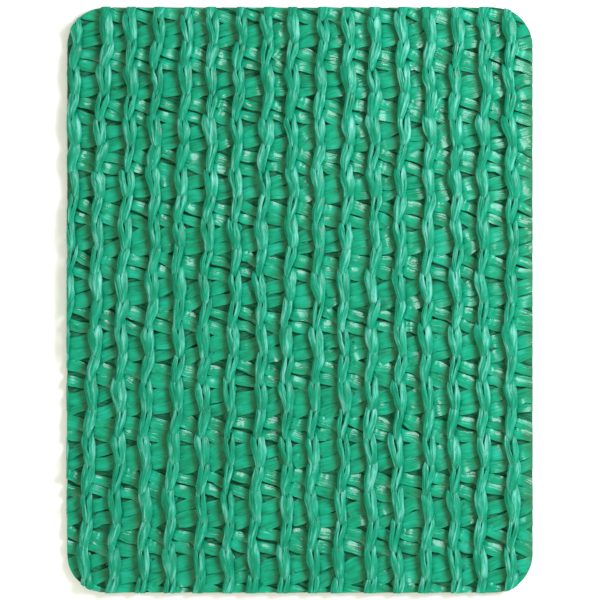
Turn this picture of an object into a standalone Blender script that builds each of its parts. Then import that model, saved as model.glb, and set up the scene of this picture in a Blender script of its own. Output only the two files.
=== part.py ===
"""Shade cloth: a flat cut length of knitted plastic-tape cloth, one solid.

Seventeen pillars of chain stitches stand up as ribs along Y. Flat tapes laid in
between them fill the ground. The cloth lies face up with its chains pointing to -Y.
Origin: the middle of the underside. X runs across the pillars, +Z is up. Metres.
"""

from math import cos, exp, log, pi, radians, sin

import bmesh
import bpy

MM = 0.001

# The cut length
CLOTH_WIDTH = 70.5 * MM
CLOTH_LENGTH = 88.6 * MM
CORNER_RADIUS = 5.9 * MM
CORNER_STEPS = 8
CUTTER_REACH = 10 * MM

# Pillars: they spread a little towards -Y, where the knitting is drawn wider
PILLAR_COUNT = 17
LAST_PILLAR_X = 31.9 * MM
PILLAR_PITCH_FAR = 4.085 * MM
PILLAR_PITCH_NEAR = 4.306 * MM
SWAY = 0.22 * MM
SWAY_LENGTH = 47 * MM
SWAY_SHIFT = 0.37

# Courses: one chain stitch of each pillar, longer towards -Y
COURSE_FAR = 3.76 * MM
COURSE_NEAR = 4.33 * MM
ROWS_IN_COURSE = 2
FIRST_JOIN = 0.63
SIDE_SWING = 0.26 * MM
SWING_LEAD = 0.3

# Heights over the surface that the cloth rests on
GROUND_HEIGHT = 1.15 * MM
GROUND_STEP = 0.12 * MM

# Half a rib's section from the middle of the pillar out, in shares of the pitch
RIB_SECTION = (
    # name, place at a stitch's head, place at a join, height at the head, height at the join
    ("groove", 0.00, 0.00, 1.70 * MM, 1.78 * MM),
    ("leg", 0.15, 0.10, 2.25 * MM, 1.95 * MM),
    ("foot", 0.29, 0.24, 1.00 * MM, 1.00 * MM),
)

TAPE_COLOUR = (0.013, 0.36, 0.19, 1.0)
TAPE_ROUGHNESS = 0.4

COURSE_GROWTH = (COURSE_NEAR - COURSE_FAR) / CLOTH_LENGTH


def clear_scene():
    for obj in list(bpy.data.objects):
        bpy.data.objects.remove(obj)


def y_of_course(course):
    """The place of a course counted from the far edge; each is a little longer than the last."""
    return CLOTH_LENGTH / 2 - COURSE_FAR * (exp(COURSE_GROWTH * course) - 1) / COURSE_GROWTH


def course_of_y(y):
    return log(1 + (CLOTH_LENGTH / 2 - y) * COURSE_GROWTH / COURSE_FAR) / COURSE_GROWTH


def pillar_x(pillar, y):
    """The middle line of a pillar, which may be a half number for the middle of a gap."""
    share = (CLOTH_LENGTH / 2 - y) / CLOTH_LENGTH
    pitch = PILLAR_PITCH_FAR + (PILLAR_PITCH_NEAR - PILLAR_PITCH_FAR) * share
    sway = SWAY * sin(2 * pi * (y / SWAY_LENGTH + SWAY_SHIFT * pillar))
    return LAST_PILLAR_X - (PILLAR_COUNT - 1 - pillar) * pitch + sway


def swing_at(course):
    """Each stitch leans to the other side than the last, so a pillar swings once in two courses,
    and turns back a little before each join."""
    return -SIDE_SWING * cos(pi * (course - FIRST_JOIN + SWING_LEAD))


def ground_height(at_join):
    """The laid-in tapes dip where they turn, beside each join, and rise between."""
    return GROUND_HEIGHT - GROUND_STEP / 2 if at_join else GROUND_HEIGHT + GROUND_STEP / 2


def section_of_rib(at_join):
    """(place from the middle of the pillar in pitches, height) from left to right."""
    right = []
    for _name, place_head, place_join, height_head, height_join in RIB_SECTION:
        right.append((place_join, height_join) if at_join else (place_head, height_head))
    left = [(-place, height) for place, height in reversed(right[1:])]
    return left + right


def row_points(course, at_join):
    """The top surface along one row, from the left margin to the right one."""
    y = y_of_course(course)
    pitch = pillar_x(1, y) - pillar_x(0, y)
    points = []
    for pillar in range(-1, PILLAR_COUNT + 1):
        middle = pillar_x(pillar, y) + swing_at(course)
        for place, height in section_of_rib(at_join):
            points.append((middle + place * pitch, y, height))
        points.append((pillar_x(pillar + 0.5, y), y, ground_height(at_join)))
    return points


def ribbed_slab():
    """A block with the knitted top face, a little larger than the cut length on every side."""
    first_row = -1
    last_row = int(course_of_y(-CLOTH_LENGTH / 2) * ROWS_IN_COURSE) + 2
    mesh = bmesh.new()
    rows = []
    for row in range(first_row, last_row + 1):
        at_join = row % ROWS_IN_COURSE == 0
        course = FIRST_JOIN - 1 + row / ROWS_IN_COURSE
        rows.append([mesh.verts.new(point) for point in row_points(course, at_join)])
    for upper, lower in zip(rows, rows[1:]):
        for i in range(len(upper) - 1):
            mesh.faces.new((upper[i], lower[i], lower[i + 1], upper[i + 1]))
    right_side = [row[-1] for row in rows[1:-1]]
    left_side = [row[0] for row in rows[-2:0:-1]]
    rim = rows[0] + right_side + rows[-1][::-1] + left_side
    base = [mesh.verts.new((vert.co.x, vert.co.y, 0.0)) for vert in rim]
    for i, vert in enumerate(rim):
        after = (i + 1) % len(rim)
        mesh.faces.new((vert, rim[after], base[after], base[i]))
    mesh.faces.new(base)
    bmesh.ops.recalc_face_normals(mesh, faces=mesh.faces)
    return mesh


def outline_cutter():
    """A prism on the outline of the cut length, a rectangle with rounded corners."""
    mesh = bmesh.new()
    half_x = CLOTH_WIDTH / 2 - CORNER_RADIUS
    half_y = CLOTH_LENGTH / 2 - CORNER_RADIUS
    outline = []
    for start, side_x, side_y in ((0, 1, 1), (90, -1, 1), (180, -1, -1), (270, 1, -1)):
        for step in range(CORNER_STEPS + 1):
            turn = radians(start + 90 * step / CORNER_STEPS)
            x = side_x * half_x + CORNER_RADIUS * cos(turn)
            y = side_y * half_y + CORNER_RADIUS * sin(turn)
            outline.append(mesh.verts.new((x, y, -CUTTER_REACH)))
    face = mesh.faces.new(outline)
    swept = bmesh.ops.extrude_face_region(mesh, geom=[face])
    lifted = [item for item in swept["geom"] if isinstance(item, bmesh.types.BMVert)]
    bmesh.ops.translate(mesh, verts=lifted, vec=(0, 0, 2 * CUTTER_REACH))
    bmesh.ops.recalc_face_normals(mesh, faces=mesh.faces)
    return mesh


def object_from(name, mesh):
    data = bpy.data.meshes.new(name)
    mesh.to_mesh(data)
    mesh.free()
    obj = bpy.data.objects.new(name, data)
    bpy.context.scene.collection.objects.link(obj)
    return obj


def tape_material():
    """Green stabilised polyethylene tape."""
    material = bpy.data.materials.new("green_tape")
    material.use_nodes = True
    shader = material.node_tree.nodes["Principled BSDF"]
    shader.inputs["Base Color"].default_value = TAPE_COLOUR
    shader.inputs["Roughness"].default_value = TAPE_ROUGHNESS
    shader.inputs["Metallic"].default_value = 0.0
    return material


def build():
    clear_scene()
    cloth = object_from("shade_cloth", ribbed_slab())
    cloth.data.materials.append(tape_material())
    cutter = object_from("outline_cutter", outline_cutter())
    cutter.hide_render = True
    cutter.display_type = "WIRE"
    trim = cloth.modifiers.new("cut to outline", "BOOLEAN")
    trim.operation = "INTERSECT"
    trim.solver = "EXACT"
    trim.object = cutter


build()
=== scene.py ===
import math

import bmesh
import bpy
import numpy as np
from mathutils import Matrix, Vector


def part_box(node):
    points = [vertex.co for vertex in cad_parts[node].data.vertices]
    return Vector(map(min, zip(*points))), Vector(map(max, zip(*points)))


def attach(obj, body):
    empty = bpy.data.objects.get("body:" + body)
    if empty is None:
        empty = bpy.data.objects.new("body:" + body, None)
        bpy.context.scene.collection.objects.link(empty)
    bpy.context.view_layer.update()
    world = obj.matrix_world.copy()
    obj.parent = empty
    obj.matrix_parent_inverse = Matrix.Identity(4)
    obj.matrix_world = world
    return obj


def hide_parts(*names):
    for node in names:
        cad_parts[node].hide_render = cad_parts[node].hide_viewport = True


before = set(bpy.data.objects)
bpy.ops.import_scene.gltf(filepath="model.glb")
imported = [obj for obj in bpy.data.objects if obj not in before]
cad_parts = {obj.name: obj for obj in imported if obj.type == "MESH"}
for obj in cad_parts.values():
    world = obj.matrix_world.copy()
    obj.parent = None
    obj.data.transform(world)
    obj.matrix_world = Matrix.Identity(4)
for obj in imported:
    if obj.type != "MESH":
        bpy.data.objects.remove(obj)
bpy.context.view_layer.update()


# The table, the camera and the light
# The cut length lies flat and face up on a plain pale table and is seen from straight above.
# A soft lamp stands low at the upper right, and a broader one at the near side fills the shade.
# Sizes in this script are millimetres, and angles are degrees.
MM = 0.001
VIEW_WIDTH = 90.7
CAMERA_LENS = 150
SENSOR_WIDTH = 36
CLOTH_TOP = 1.6
TABLE_SIDE = 4000
TABLE_COLOUR = (0.95, 0.95, 0.95, 1)
KEY_LAMP = {"place": (190, 100, 185), "side": 125, "power": 1.10, "colour": (0.90, 0.89, 1.0)}
FILL_LAMP = {"place": (-160, -430, 320), "side": 420, "power": 1.5, "colour": (0.98, 1.0, 0.86)}
SKY_COLOUR = (0.98, 0.98, 0.84, 1)
SKY_STRENGTH = 0.69


class Wire:
    """One output of a shader node. Sums and products of wires and numbers add Math nodes."""

    def __init__(self, tree, socket):
        self.tree = tree
        self.socket = socket

    @classmethod
    def node(cls, tree, kind, settings, inputs, output=0):
        """A node of this kind, with its settings made first and then its sockets filled or linked."""
        made = tree.nodes.new(kind)
        for key, value in settings.items():
            if key == "stops":
                ramp = made.color_ramp
                while len(ramp.elements) < len(value):
                    ramp.elements.new(0.5)
                for stop, (place, colour) in zip(ramp.elements, value):
                    stop.position = place
                    stop.color = colour
            else:
                setattr(made, key, value)
        for key, value in inputs.items():
            if isinstance(value, Wire):
                tree.links.new(value.socket, made.inputs[key])
            else:
                made.inputs[key].default_value = value
        return cls(tree, made.outputs[output])

    def math(self, operation, first, second=0.0):
        values = {0: first, 1: second}
        return Wire.node(self.tree, "ShaderNodeMath", {"operation": operation}, values)

    def __add__(self, other):
        return self.math("ADD", self, other)

    def __mul__(self, other):
        return self.math("MULTIPLY", self, other)

    def __sub__(self, other):
        return self.math("SUBTRACT", self, other)

    def __rsub__(self, other):
        return self.math("SUBTRACT", other, self)

    __radd__ = __add__
    __rmul__ = __mul__

    def __abs__(self):
        return self.math("ABSOLUTE", self)

    def held(self, low=0.0, high=1.0):
        """The value kept between two limits."""
        return self.math("MINIMUM", self.math("MAXIMUM", self, low), high)


def new_material(name):
    material = bpy.data.materials.new(name)
    material.use_nodes = True
    return material, material.node_tree, material.node_tree.nodes["Principled BSDF"]


def link_up(name, mesh, material):
    piece = bpy.data.objects.new(name, mesh)
    mesh.materials.append(material)
    bpy.context.scene.collection.objects.link(piece)
    return piece


def table_paint():
    """Matt white paint, with the faint mottling of a rolled coat."""
    material, tree, shader = new_material("table_paint")
    place = Wire.node(tree, "ShaderNodeTexCoord", {}, {}, "Object")
    coat = Wire.node(tree, "ShaderNodeTexNoise", {}, {"Vector": place, "Scale": 220.0, "Detail": 3.0})
    bump = Wire.node(tree, "ShaderNodeBump", {}, {"Strength": 0.04, "Distance": 0.2 * MM, "Height": coat})
    shader.inputs["Base Color"].default_value = TABLE_COLOUR
    shader.inputs["Roughness"].default_value = 0.7
    tree.links.new(bump.socket, shader.inputs["Normal"])
    return material


def add_table():
    shape = bmesh.new()
    bmesh.ops.create_grid(shape, x_segments=1, y_segments=1, size=TABLE_SIDE / 2 * MM)
    mesh = bpy.data.meshes.new("table")
    shape.to_mesh(mesh)
    shape.free()
    link_up("table", mesh, table_paint())


def add_camera():
    lens = bpy.data.cameras.new("camera")
    lens.lens = CAMERA_LENS
    lens.sensor_width = SENSOR_WIDTH
    lens.clip_start = 0.01
    camera = bpy.data.objects.new("camera", lens)
    camera.location = (0, 0, (CLOTH_TOP + VIEW_WIDTH * CAMERA_LENS / SENSOR_WIDTH) * MM)
    bpy.context.scene.collection.objects.link(camera)
    bpy.context.scene.camera = camera


def add_lamp(name, lamp):
    light = bpy.data.lights.new(name, "AREA")
    light.size = lamp["side"] * MM
    light.energy = lamp["power"]
    light.color = lamp["colour"]
    stand = bpy.data.objects.new(name, light)
    stand.location = [side * MM for side in lamp["place"]]
    stand.rotation_mode = "QUATERNION"
    stand.rotation_quaternion = stand.location.to_track_quat("Z", "Y")
    bpy.context.scene.collection.objects.link(stand)


def add_sky():
    world = bpy.data.worlds.new("studio")
    world.use_nodes = True
    sky = world.node_tree.nodes["Background"]
    sky.inputs["Color"].default_value = SKY_COLOUR
    sky.inputs["Strength"].default_value = SKY_STRENGTH
    bpy.context.scene.world = world


add_camera()
add_table()
add_lamp("key_lamp", KEY_LAMP)
add_lamp("fill_lamp", FILL_LAMP)
add_sky()
bpy.context.scene.view_settings.view_transform = "Standard"


# The pillars
# Each pillar is a chain of stitches knitted by one needle from a folded polyethylene tape.
# A stitch's two legs show as a V that points to -Y; they come up through the stitch below,
# and the tape climbs to the next stitch at the back.
PILLAR_COUNT = 17
LAST_PILLAR_X = 31.9
PITCH_FAR = 4.085
PITCH_NEAR = 4.306
SWAY = 0.22
SWAY_LENGTH = 47
SWAY_SHIFT = 0.37
COURSE_FAR = 3.76
COURSE_NEAR = 4.33
FIRST_JOIN = 0.63
SIDE_SWING = 0.26
SWING_LEAD = 0.3
COURSE_COUNT = 23
COURSES_BEYOND = 3
CORNER_RADIUS = 5.9
STITCH = (
    # name, out from the middle, courses up, height, width, thickness, turn of the face
    ("foot", -0.10, 0.00, 0.50, 0.44, 0.30, -90),
    ("rise", -0.12, 0.05, 1.24, 0.58, 0.40, -15),
    ("low leg", -0.20, 0.22, 1.64, 0.82, 0.40, 10),
    ("middle leg", -0.33, 0.48, 1.86, 0.90, 0.38, 20),
    ("high leg", -0.44, 0.76, 1.84, 1.00, 0.38, 22),
    ("shoulder", -0.46, 1.02, 1.80, 0.96, 0.34, 22),
    ("tip", -0.42, 1.27, 1.56, 0.62, 0.32, 12),
    ("bend", -0.38, 1.38, 1.12, 0.44, 0.32, 0),
    ("head", 0.00, 1.42, 0.95, 0.38, 0.32, 0),
    ("far bend", 0.38, 1.38, 1.12, 0.44, 0.32, 0),
    ("far tip", 0.48, 1.27, 1.56, 0.62, 0.32, -12),
    ("far shoulder", 0.48, 1.02, 1.80, 0.96, 0.34, -22),
    ("far high leg", 0.44, 0.76, 1.84, 1.00, 0.38, -22),
    ("far middle leg", 0.33, 0.48, 1.86, 0.90, 0.38, -20),
    ("far low leg", 0.20, 0.22, 1.64, 0.82, 0.40, -10),
    ("fall", 0.12, 0.05, 1.22, 0.54, 0.40, 25),
    ("turn under", 0.12, 0.00, 0.40, 0.50, 0.26, 90),
    ("underlap", 0.12, 0.25, 0.15, 0.90, 0.18, 170),
    ("underlap top", 0.12, 0.75, 0.16, 0.80, 0.18, 180),
)
RIGHT_LEG_LIFT = 0.15
RIGHT_LEG_LAP = 0.12
LAP_END = 0.85
LAP_GROWTH = 4
SHIFT_GROWTH = 3
RIGHT_STITCH_SPREAD = 1.07
LEFT_STITCH_SPREAD = 0.87
STITCH_UNEVEN = {"spread": 0.13, "bulk": 0.12, "shift": 0.11, "lean": 0.08, "length": 0.05,
                 "rise": 0.04, "place": 0.03, "width": 0.12, "drift": 0.35}
LEG_STEPS = 2
LEG_TOP_LINES = 9
LEG_UNDER_LINES = 3
LEG_UNDER_REACH = 0.8
LEG_FLATTENING = 0.9
LEG_CREASE = 0.32
LEG_CREASES = 1.25
PILLAR_SEED = 11
PILLAR_PIECES = 2
MAP_SHIFT = 37.3
MERGE_REACH = 1e-4
SHARP_ANGLE = 55

low_corner, high_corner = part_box("shade_cloth")
half_width = (high_corner[0] - low_corner[0]) / 2 / MM
half_length = (high_corner[1] - low_corner[1]) / 2 / MM
course_growth = (COURSE_NEAR - COURSE_FAR) / (2 * half_length)


def y_of_course(course):
    """The place of a course counted from the far edge; each is a little longer than the last."""
    return half_length - COURSE_FAR * (np.exp(course_growth * course) - 1) / course_growth


def pitch_at(y):
    """How far apart the pillars stand, which grows a little towards the near edge."""
    return PITCH_FAR + (PITCH_NEAR - PITCH_FAR) * (half_length - y) / (2 * half_length)


def knit_place(pillar, course, aside):
    """x and y of a place given by its pillar and course; pillars and courses may be fractions."""
    y = y_of_course(course)
    sway = SWAY * np.sin(2 * math.pi * (y / SWAY_LENGTH + SWAY_SHIFT * pillar))
    swing = -SIDE_SWING * np.cos(math.pi * (course - FIRST_JOIN + SWING_LEAD))
    return LAST_PILLAR_X - (PILLAR_COUNT - 1 - pillar) * pitch_at(y) + sway + swing + aside, y


def smooth_rows(rows, steps):
    """A smooth curve through every row of a table, with so many steps from row to row."""
    rows = np.vstack((2 * rows[0] - rows[1], rows, 2 * rows[-1] - rows[-2]))
    before, start, end, after = rows[:-3], rows[1:-2], rows[2:-1], rows[3:]
    curve = []
    for t in np.arange(steps) / steps:
        bend = (2 * before - 5 * start + 4 * end - after) * t**2
        ease = (3 * start - before - 3 * end + after) * t**3
        curve.append((2 * start + (end - before) * t + bend + ease) / 2)
    return np.vstack((np.stack(curve, axis=1).reshape(-1, rows.shape[1]), rows[-2:-1]))


def unit(vectors):
    return vectors / np.linalg.norm(vectors, axis=-1, keepdims=True)


def sweep(line, facing, across, out):
    """Rings of points round a line: across and out are each ring's offsets in the tape's own width
    and out of its face, which looks as nearly as it can towards facing. None goes into the table."""
    along = unit(np.gradient(line, axis=0))
    face = unit(facing - (facing * along).sum(axis=1, keepdims=True) * along)
    wide = np.cross(face, along)
    rings = line[:, None] + wide[:, None] * across[..., None] + face[:, None] * out[..., None]
    rings[..., 2] = np.maximum(rings[..., 2], 0)
    return rings


def beyond_edge(points):
    """How far points lie outside the cut length's outline, in millimetres."""
    inner = np.array((half_width, half_length)) - CORNER_RADIUS
    away = np.abs(points[..., :2]) - inner
    return np.linalg.norm(np.maximum(away, 0), axis=-1) + np.minimum(away.max(axis=-1), 0) - CORNER_RADIUS


def onto_edge(points):
    """The same points, moved sideways to the nearest place on the outline."""
    inner = np.array((half_width, half_length)) - CORNER_RADIUS
    centre = np.clip(points[..., :2], -inner, inner)
    moved = points.copy()
    moved[..., :2] = centre + CORNER_RADIUS * unit(points[..., :2] - centre + 1e-12)
    return moved


def cut_to_outline(rings):
    """The stretches of a tape that lie inside the outline, with their ends cut flush with it, and
    the ring that each begins with."""
    far = beyond_edge(rings)
    inside = far < 0
    alive = np.flatnonzero(inside.any(axis=1))
    if not len(alive):
        return []
    stretches = []
    for run in np.split(alive, np.flatnonzero(np.diff(alive) > 1) + 1):
        if len(run) < 2:
            continue
        first, last = max(run[0] - 1, 0), min(run[-1] + 1, len(rings) - 1)
        here = slice(first, last + 1)
        part, gap, within = rings[here].copy(), far[here], inside[here]
        flush = np.where(within[..., None], part, onto_edge(part))
        for side in range(part.shape[1]):
            kept = np.flatnonzero(within[:, side])
            if not len(kept):
                continue
            for end, step, stop in ((kept[0], -1, 0), (kept[-1], 1, len(part) - 1)):
                if end == stop:
                    continue
                share = gap[end, side] / (gap[end, side] - gap[end + step, side])
                cut = part[end, side] + share * (part[end + step, side] - part[end, side])
                beyond = slice(None, end) if step < 0 else slice(end + 1, None)
                flush[beyond, side] = onto_edge(cut)
        stretches.append((flush, first))
    return stretches


def knitted_mesh(name, tapes):
    """One mesh of many tapes. Its UV map gives millimetres round and along each tape."""
    points, faces, maps, start = [], [], [], 0
    for number, (rings, first) in enumerate(tapes):
        count, sides = rings.shape[:2]
        points.append(rings.reshape(-1, 3) * MM)
        ring = start + np.arange(count - 1)[:, None] * sides
        side = np.arange(sides)
        after = (side + 1) % sides
        quads = np.stack((ring + side, ring + after, ring + sides + after, ring + sides + side), axis=-1)
        faces += quads.reshape(-1, 4).tolist()
        faces.append(list(range(start + sides - 1, start - 1, -1)))
        faces.append(list(range(start + (count - 1) * sides, start + count * sides)))
        edges = np.linalg.norm(np.diff(rings, axis=1, append=rings[:, :1]), axis=2)
        around = np.concatenate(([0.0], np.cumsum(np.median(edges, axis=0))))
        middle = rings.mean(axis=1)
        length = np.concatenate(([0.0], np.cumsum(np.linalg.norm(np.diff(middle, axis=0), axis=1))))
        along = length + MAP_SHIFT * number + first
        corners = np.stack((around[side], around[side + 1], around[side + 1], around[side]), -1)
        u = np.broadcast_to(corners, (count - 1, sides, 4))
        corners = np.stack((along[:-1], along[:-1], along[1:], along[1:]), -1)
        v = np.broadcast_to(corners[:, None], (count - 1, sides, 4))
        maps.append(np.stack((u, v), axis=-1).reshape(-1, 2))
        maps.append(np.repeat([[0.0, along[0]], [0.0, along[-1]]], sides, axis=0))
        start += count * sides
    mesh = bpy.data.meshes.new(name)
    mesh.from_pydata(np.vstack(points).tolist(), [], faces)
    layer = mesh.uv_layers.new(name="tape")
    layer.data.foreach_set("uv", np.vstack(maps).astype(np.float32).ravel())
    work = bmesh.new()
    work.from_mesh(mesh)
    bmesh.ops.remove_doubles(work, verts=work.verts, dist=MERGE_REACH * MM)
    bmesh.ops.recalc_face_normals(work, faces=work.faces)
    work.to_mesh(mesh)
    work.free()
    mesh.shade_smooth()
    mesh.set_sharp_from_angle(angle=math.radians(SHARP_ANGLE))
    return mesh


def pillar_rings(pillar, dice):
    """The rings of one pillar's tape from below the near edge to past the far one."""
    uneven = STITCH_UNEVEN
    rows = []
    hand = 1
    for number in range(COURSE_COUNT, -COURSES_BEYOND, -1):
        join = FIRST_JOIN + number
        spread = RIGHT_STITCH_SPREAD if number % 2 else LEFT_STITCH_SPREAD
        bulk = spread * (1 + dice.normal(0, uneven["bulk"]))
        spread *= 1 + dice.normal(0, uneven["spread"])
        shift, lean = dice.normal(0, uneven["shift"]), dice.normal(0, uneven["lean"])
        length, rise = 1 + dice.normal(0, uneven["length"]), dice.normal(0, uneven["rise"])
        for _name, out, up, height, width, thickness, turn in STITCH:
            right = max(hand * out, 0)
            lap = RIGHT_LEG_LAP * min(1, LAP_GROWTH * right) * (1 - up / LAP_END)
            aside = hand * out * spread - lap + dice.normal(0, uneven["place"])
            aside += (shift + lean * up) * min(1, SHIFT_GROWTH * up)
            x, y = knit_place(pillar, join - up * length, aside)
            across, facing = -hand * math.sin(math.radians(turn)), math.cos(math.radians(turn))
            height += rise * min(1, up) + RIGHT_LEG_LIFT * right
            width *= bulk * (1 + dice.normal(0, uneven["width"]))
            drift = dice.normal(0, uneven["drift"])
            rows.append((x, y, height, width, thickness, across, 0, facing, drift))
        hand = -hand
    curve = smooth_rows(np.array(rows), LEG_STEPS)
    line, facing = curve[:, :3], curve[:, 5:8]
    width, thickness, drift = curve[:, 3], curve[:, 4], curve[:, 8]
    top = np.linspace(1, -1, LEG_TOP_LINES)
    under = np.linspace(-LEG_UNDER_REACH, LEG_UNDER_REACH, LEG_UNDER_LINES)
    crease = LEG_CREASE * np.cos(2 * math.pi * (LEG_CREASES * top[None] + drift[:, None]))
    bulge = np.sqrt(1 - LEG_FLATTENING * top**2) * (1 + crease)
    belly = np.broadcast_to(-np.sqrt(1 - LEG_FLATTENING * under**2), (len(line), LEG_UNDER_LINES))
    across = width[:, None] / 2 * np.concatenate((top, under))
    return sweep(line, facing, across, thickness[:, None] / 2 * np.hstack((bulge, belly)))


def tape_noise(tape, across, along, detail, roughness=0.5):
    """Noise drawn out along a tape, with so many cells to the millimetre across it and along it."""
    scaled = {"Vector": tape, "Scale": (across, along, 1)}
    place = Wire.node(tape.tree, "ShaderNodeMapping", {"vector_type": "POINT"}, scaled)
    inputs = {"Vector": place, "Scale": 1.0, "Detail": detail, "Roughness": roughness}
    return Wire.node(tape.tree, "ShaderNodeTexNoise", {}, inputs)


def leg_tape():
    """Green polyethylene tape drawn together lengthwise, so it shows fine pale and dark streaks. Its
    colours are partly painted light: paler than the laid tape where the pillars catch more light, and the
    palest streaks are painted highlight.
    """
    material, tree, shader = new_material("pillar_tape")
    tape = Wire.node(tree, "ShaderNodeUVMap", {"uv_map": "tape"}, {})
    streak = tape_noise(tape, 2.2, 0.24, 4.0, 0.6)
    cloud = tape_noise(tape, 0.5, 0.22, 2.0)
    tone = streak * 0.7 + cloud * 0.3
    # Partly painted light: the palest stop is painted highlight on the legs, and all stops are paler than
    # the laid tape's because the pillars stand up into the light.
    stops = (
        (0.40, (0.002, 0.180, 0.092, 1)),
        (0.52, (0.004, 0.278, 0.162, 1)),
        (0.63, (0.120, 0.440, 0.360, 1)),
    )
    colour = Wire.node(tree, "ShaderNodeValToRGB", {"stops": stops}, {"Fac": tone})
    bump = Wire.node(tree, "ShaderNodeBump", {}, {"Strength": 0.9, "Distance": 0.11 * MM, "Height": streak})
    rough = (0.34 + (cloud - 0.5) * 0.25).held(0.22, 0.5)
    tree.links.new(colour.socket, shader.inputs["Base Color"])
    tree.links.new(rough.socket, shader.inputs["Roughness"])
    tree.links.new(bump.socket, shader.inputs["Normal"])
    shader.inputs["Specular IOR Level"].default_value = 0.2
    return material


def add_pillars():
    dice = np.random.default_rng(PILLAR_SEED)
    material = leg_tape()
    pillars = list(range(PILLAR_COUNT))
    share = math.ceil(len(pillars) / PILLAR_PIECES)
    pieces = []
    for number in range(PILLAR_PIECES):
        tapes = []
        for pillar in pillars[number * share : (number + 1) * share]:
            tapes += cut_to_outline(pillar_rings(pillar, dice))
        name = "pillar_stitches_%d" % (number + 1)
        pieces.append(link_up(name, knitted_mesh(name, tapes), material))
    return pieces


pillar_pieces = add_pillars()
for piece in pillar_pieces:
    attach(piece, "root")


# The laid-in tapes
# Flat polyethylene tapes run to and fro over two pillars, one course on with each run. The pillars'
# stitches hold them between their legs and their underlaps and gather them, and they open out between.
# A second set lies behind, a course and a quarter out of step, and shows dark in the first's gaps; its
# colour is painted shade.
SPAN = 2
RUN = (
    # name, pillars over, courses on, aside, height, width in courses, fold depth
    ("turn", 0.0, 0.00, -0.55, 0.82, 0.22, 0.04),
    ("under the leg", 0.0, 0.10, 0.10, 0.84, 0.34, 0.03),
    ("out", 0.0, 0.19, 1.00, 0.96, 0.42, 0.020),
    ("gap", 0.5, 0.275, 0.00, 0.98, 0.43, 0.012),
    ("in", 1.0, 0.36, -1.00, 0.92, 0.42, 0.020),
    ("crossing", 1.0, 0.50, 0.00, 0.84, 0.40, 0.025),
    ("out again", 1.0, 0.64, 1.00, 0.92, 0.42, 0.020),
    ("second gap", 1.5, 0.725, 0.00, 0.98, 0.43, 0.012),
    ("in again", 2.0, 0.81, -1.00, 0.96, 0.42, 0.020),
    ("under the far leg", 2.0, 0.90, -0.10, 0.84, 0.34, 0.03),
)
RUN_UNEVEN = {"run": 0.035, "place": 0.015, "aside": 0.03, "height": 0.04, "width": 0.08,
              "tilt": 0.11, "twist": 0.11 / 3, "fold": 0.4, "drift": 0.3}
TAPE_UNEVEN = 0.06
TAPE_SLACK = 0.07
TAPE_OFFSET = 0.03
RIGHTWARD_RUN = {"width": 1.02, "rise": 0.26, "bow": 0.11}
LEFTWARD_RUN = {"width": 1.20, "rise": 0.06, "bow": 0.03}
RIGHT_LIFT = 0.14
SHINGLE = 0.10
FACE_LAYER = {"title": "laid_in_tapes", "pieces": 2, "seed": 5, "first_turn": FIRST_JOIN + 1,
              "drop": 0.0, "widen": 1.0, "tilt": 1.0, "steps": 3, "lines": 9, "under_lines": 5}
BACK_LAYER = {"title": "back_tapes", "pieces": 1, "seed": 6, "first_turn": FIRST_JOIN + 2.24,
              "drop": 0.42, "widen": 1.32, "tilt": 0.3, "steps": 2, "lines": 5, "under_lines": 3}
TAPE_THICKNESS = 0.07
FOLD_WAVES = 0.6
FINE_FOLD = {"waves": 1.3, "drift": 1.5, "depth": 0.4}
BOW_LEVEL = 0.4
# Painted shadow: the laid tapes are tinted a dark brownish green beside each pillar's left edge, where the
# pillar's shadow from the key lamp falls.
PILLAR_SHADOW_NEAR = 1.0
PILLAR_SHADOW_FAR = 2.4
PILLAR_SHADOW_TINT = (0.040, 0.112, 0.040, 1)
PILLAR_SHADOW_SHARE = 0.52
DRAW_LINE_FINENESS = 28


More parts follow.
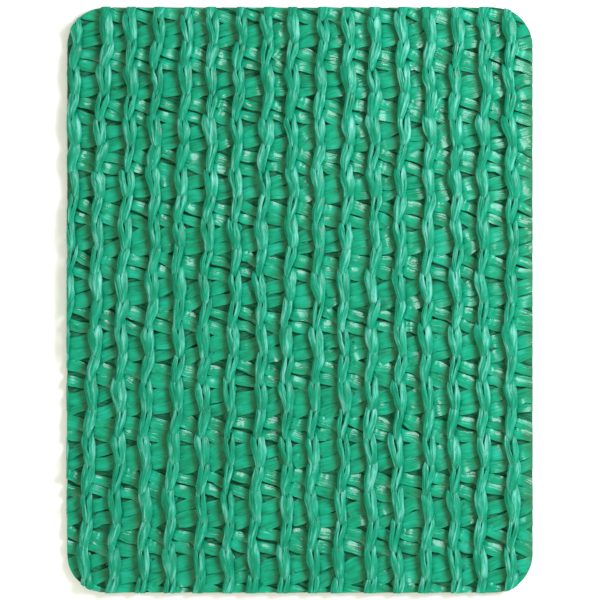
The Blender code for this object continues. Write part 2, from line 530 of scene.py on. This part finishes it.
def tape_rings(first_pillar, layer, dice):
    """The rings of one laid-in tape, from beyond the far edge to beyond the near one."""
    uneven = RUN_UNEVEN
    slack, offset = 1 + dice.normal(0, TAPE_SLACK), dice.normal(0, TAPE_OFFSET)
    rows = []
    for number in range(-COURSES_BEYOND, COURSE_COUNT + 1):
        leftward = number % 2 == 1
        early, skew = dice.normal(0, uneven["run"], 2)
        roll = dice.normal(0, uneven["tilt"])
        way = LEFTWARD_RUN if leftward else RIGHTWARD_RUN
        spread = layer["widen"] * slack * way["width"] * (1 + dice.normal(0, uneven["width"]))
        bow = way["bow"] * (1 + dice.normal(0, uneven["fold"]))
        for _name, over, on, aside, height, width, fold in RUN:
            pillar = first_pillar + (SPAN - over if leftward else over)
            course = layer["first_turn"] + offset + number + on + early + skew * (over - 1)
            course += dice.normal(0, uneven["place"])
            aside = -aside if leftward else aside
            x, y = knit_place(pillar, course, aside + dice.normal(0, uneven["aside"]))
            height += RIGHT_LIFT * aside + way["rise"] * max(aside, 0) + dice.normal(0, uneven["height"])
            tilt = (-SHINGLE if leftward else SHINGLE) + roll + dice.normal(0, uneven["twist"])
            course_length = y_of_course(course) - y_of_course(course + 1)
            width *= spread * course_length * (1 + dice.normal(0, TAPE_UNEVEN))
            fold *= 1 + dice.normal(0, uneven["fold"])
            drift = dice.normal(0, uneven["drift"])
            rows.append((x, y, height - layer["drop"], width, fold, tilt * layer["tilt"], drift, bow))
    curve = smooth_rows(np.array(rows), layer["steps"])
    line, width, fold, tilt, drift, bow = curve[:, :3], *curve[:, 3:].T
    along = unit(np.gradient(line, axis=0))
    level = unit(np.cross(np.array((0.0, 0.0, 1.0)), along))
    upright = np.cross(along, level)
    facing = upright * np.cos(tilt)[:, None] + level * np.sin(tilt)[:, None]
    sides = []
    for place in (np.linspace(-1, 1, layer["lines"]), np.linspace(1, -1, layer["under_lines"])):
        wave = np.cos(2 * math.pi * (FOLD_WAVES * place[None] + drift[:, None]))
        fine_turn = FINE_FOLD["waves"] * place[None] - FINE_FOLD["drift"] * drift[:, None]
        folds = wave + FINE_FOLD["depth"] * np.cos(2 * math.pi * fine_turn)
        rise = fold[:, None] * folds + bow[:, None] * (BOW_LEVEL - place[None] ** 2)
        sides.append((width[:, None] / 2 * place[None], rise))
    (across, rise), (back_across, back_rise) = sides
    out = np.hstack((rise + TAPE_THICKNESS / 2, back_rise - TAPE_THICKNESS / 2))
    return sweep(line, facing, np.hstack((across, back_across)), out)


def paint_pillar_shadows(mesh):
    """Painted shadow of each pillar on the laid tapes: strongest beside a pillar's left edge, and none in
    mid gap.
    """
    places = np.empty(len(mesh.vertices) * 3)
    mesh.vertices.foreach_get("co", places)
    x, y = places.reshape(-1, 3)[:, :2].T / MM
    course = np.log(1 + (half_length - y) * course_growth / COURSE_FAR) / course_growth
    next_pillar = np.ceil(PILLAR_COUNT - 1 + (x - LAST_PILLAR_X) / pitch_at(y))
    to_pillar = knit_place(next_pillar, course, 0.0)[0] - x
    near = np.clip(1 - (to_pillar - PILLAR_SHADOW_NEAR) / (PILLAR_SHADOW_FAR - PILLAR_SHADOW_NEAR), 0, 1)
    layer = mesh.attributes.new("gather", "FLOAT", "POINT")
    layer.data.foreach_set("value", (near * near * (3 - 2 * near)).astype(np.float32))


def flat_tape():
    """The same green tape left flat: smooth and glossy, with faint draw lines along it, and a painted
    shadow beside each pillar's left edge.
    """
    material, tree, shader = new_material("laid_tape")
    tape = Wire.node(tree, "ShaderNodeUVMap", {"uv_map": "tape"}, {})
    streak = tape_noise(tape, 5.0, 0.25, 4.0, 0.55)
    cloud = tape_noise(tape, 0.7, 0.3, 2.0)
    sheet = tape_noise(tape, 1.0, 0.10, 1.0)
    line = (1.0 - abs(sheet - 0.5) * DRAW_LINE_FINENESS).held()
    tone = streak * 0.4 + cloud * 0.6 - line * 0.06
    stops = (
        (0.32, (0.002, 0.145, 0.068, 1)),
        (0.50, (0.002, 0.262, 0.136, 1)),
        (0.68, (0.008, 0.350, 0.228, 1)),
    )
    film = Wire.node(tree, "ShaderNodeValToRGB", {"stops": stops}, {"Fac": tone})
    # Painted shadow of the pillars, mixed into the tape's own colour.
    gather = Wire.node(tree, "ShaderNodeAttribute", {"attribute_name": "gather"}, {}, "Fac")
    mixed = {0: gather * PILLAR_SHADOW_SHARE, 6: film, 7: PILLAR_SHADOW_TINT}
    colour = Wire.node(tree, "ShaderNodeMix", {"data_type": "RGBA"}, mixed, 2)
    relief = streak * 0.6 - line
    bump = Wire.node(tree, "ShaderNodeBump", {}, {"Strength": 0.5, "Distance": 0.05 * MM, "Height": relief})
    rough = (0.20 + (cloud - 0.5) * 0.25).held(0.12, 0.40)
    tree.links.new(colour.socket, shader.inputs["Base Color"])
    tree.links.new(rough.socket, shader.inputs["Roughness"])
    tree.links.new(bump.socket, shader.inputs["Normal"])
    shader.inputs["Specular IOR Level"].default_value = 0.2
    return material


def back_tape():
    """The tapes of the back layer: the same tape, painted darker all over as painted shade from the face
    tapes above it.
    """
    material, tree, shader = new_material("back_tape")
    tape = Wire.node(tree, "ShaderNodeUVMap", {"uv_map": "tape"}, {})
    streak = tape_noise(tape, 3.0, 0.3, 3.0)
    # Painted shade: both stops are far darker than the face tapes' own green.
    stops = (
        (0.36, (0.006, 0.070, 0.030, 1)),
        (0.64, (0.014, 0.180, 0.088, 1)),
    )
    colour = Wire.node(tree, "ShaderNodeValToRGB", {"stops": stops}, {"Fac": streak})
    bump = Wire.node(tree, "ShaderNodeBump", {}, {"Strength": 0.4, "Distance": 0.05 * MM, "Height": streak})
    tree.links.new(colour.socket, shader.inputs["Base Color"])
    tree.links.new(bump.socket, shader.inputs["Normal"])
    shader.inputs["Roughness"].default_value = 0.6
    shader.inputs["Specular IOR Level"].default_value = 0.1
    return material


def add_laid_tapes(layer, material):
    dice = np.random.default_rng(layer["seed"])
    starts = list(range(-SPAN, PILLAR_COUNT))
    share = math.ceil(len(starts) / layer["pieces"])
    pieces = []
    for number in range(layer["pieces"]):
        tapes = []
        for start in starts[number * share : (number + 1) * share]:
            tapes += cut_to_outline(tape_rings(start, layer, dice))
        name = "%s_%d" % (layer["title"], number + 1)
        pieces.append(link_up(name, knitted_mesh(name, tapes), material))
        paint_pillar_shadows(pieces[-1].data)
    return pieces


tape_pieces = add_laid_tapes(FACE_LAYER, flat_tape())
back_pieces = add_laid_tapes(BACK_LAYER, back_tape())
for piece in tape_pieces + back_pieces:
    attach(piece, "root")
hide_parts("shade_cloth")
